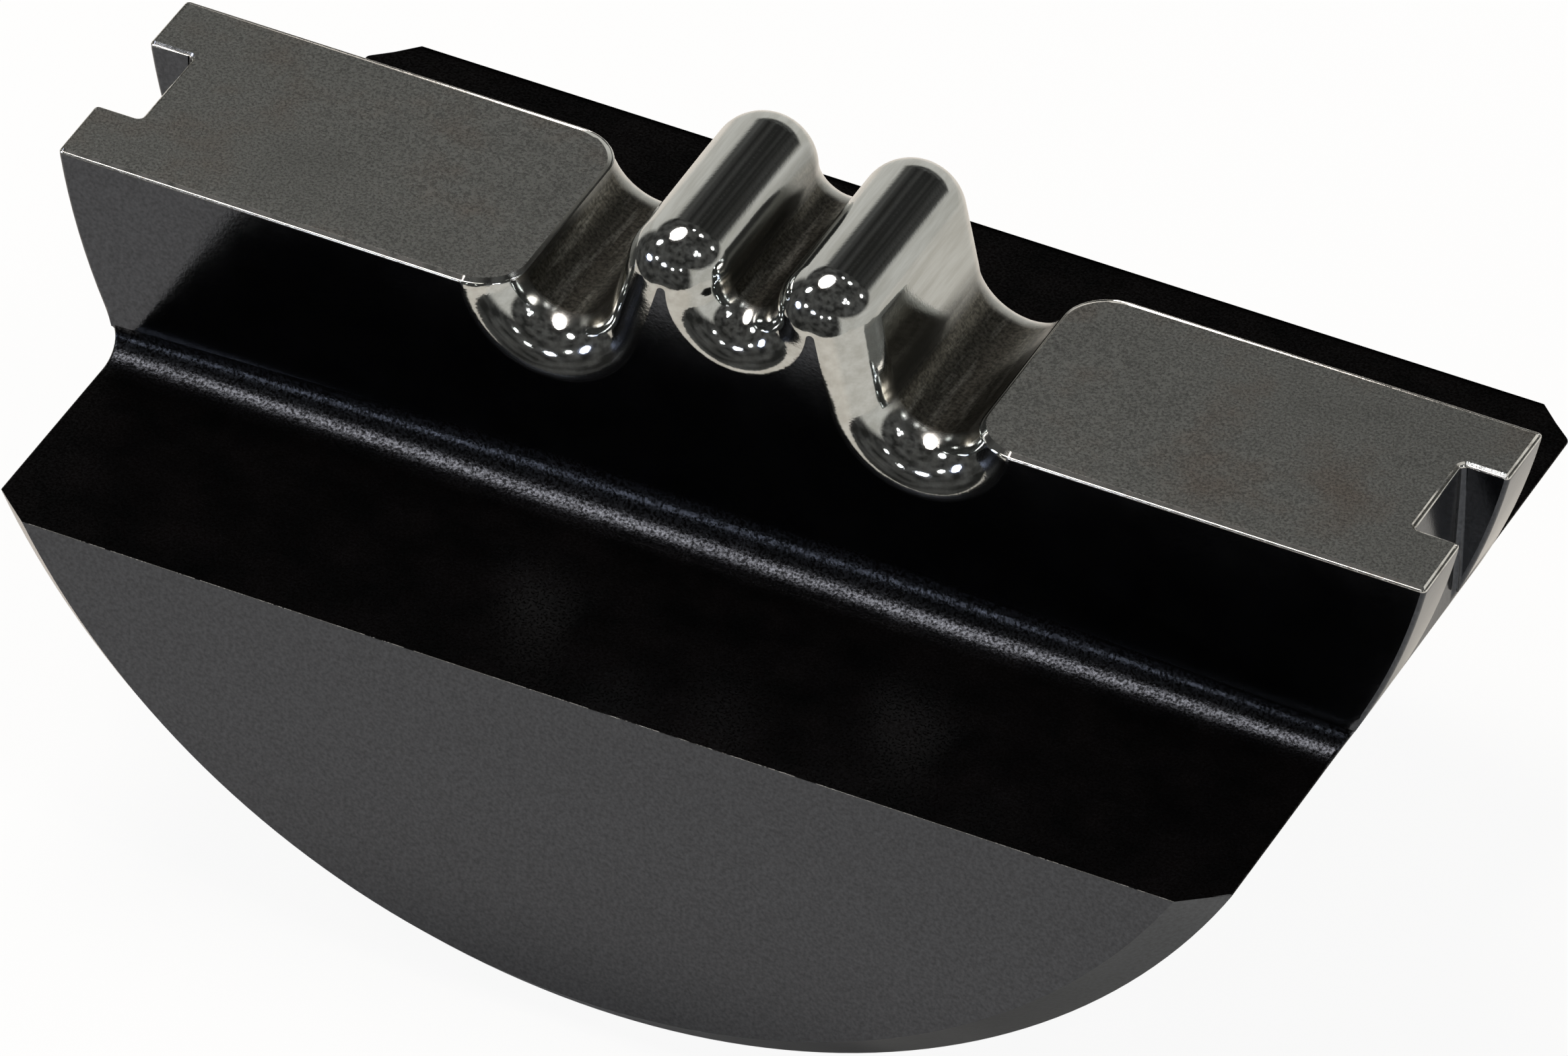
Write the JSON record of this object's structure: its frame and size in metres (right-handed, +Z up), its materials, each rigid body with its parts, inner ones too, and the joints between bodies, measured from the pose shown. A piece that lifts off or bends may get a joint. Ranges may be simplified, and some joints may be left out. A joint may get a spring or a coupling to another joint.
{
  "type": "half-round crimping die",
  "caption": "Half-round steel crimping die with a narrow rail, polished nibs between rounded grooves, flat parting faces and a locating slot in each end.",
  "frame": {"origin": "lowest point of the round back, in the middle of the die's length and width", "axes": "+X along the parting faces, +Y across the rail, +Z up, from the round back towards the other die"},
  "size_m": [0.0414, 0.0246, 0.0207],
  "materials": {
    "die_steel": "hardened steel with a black oxide finish, matte grey ground parting faces and a bright polished nest"
  },
  "bodies": {
    "root": {"die_body": "die_steel"}
  },
  "joints": []
}
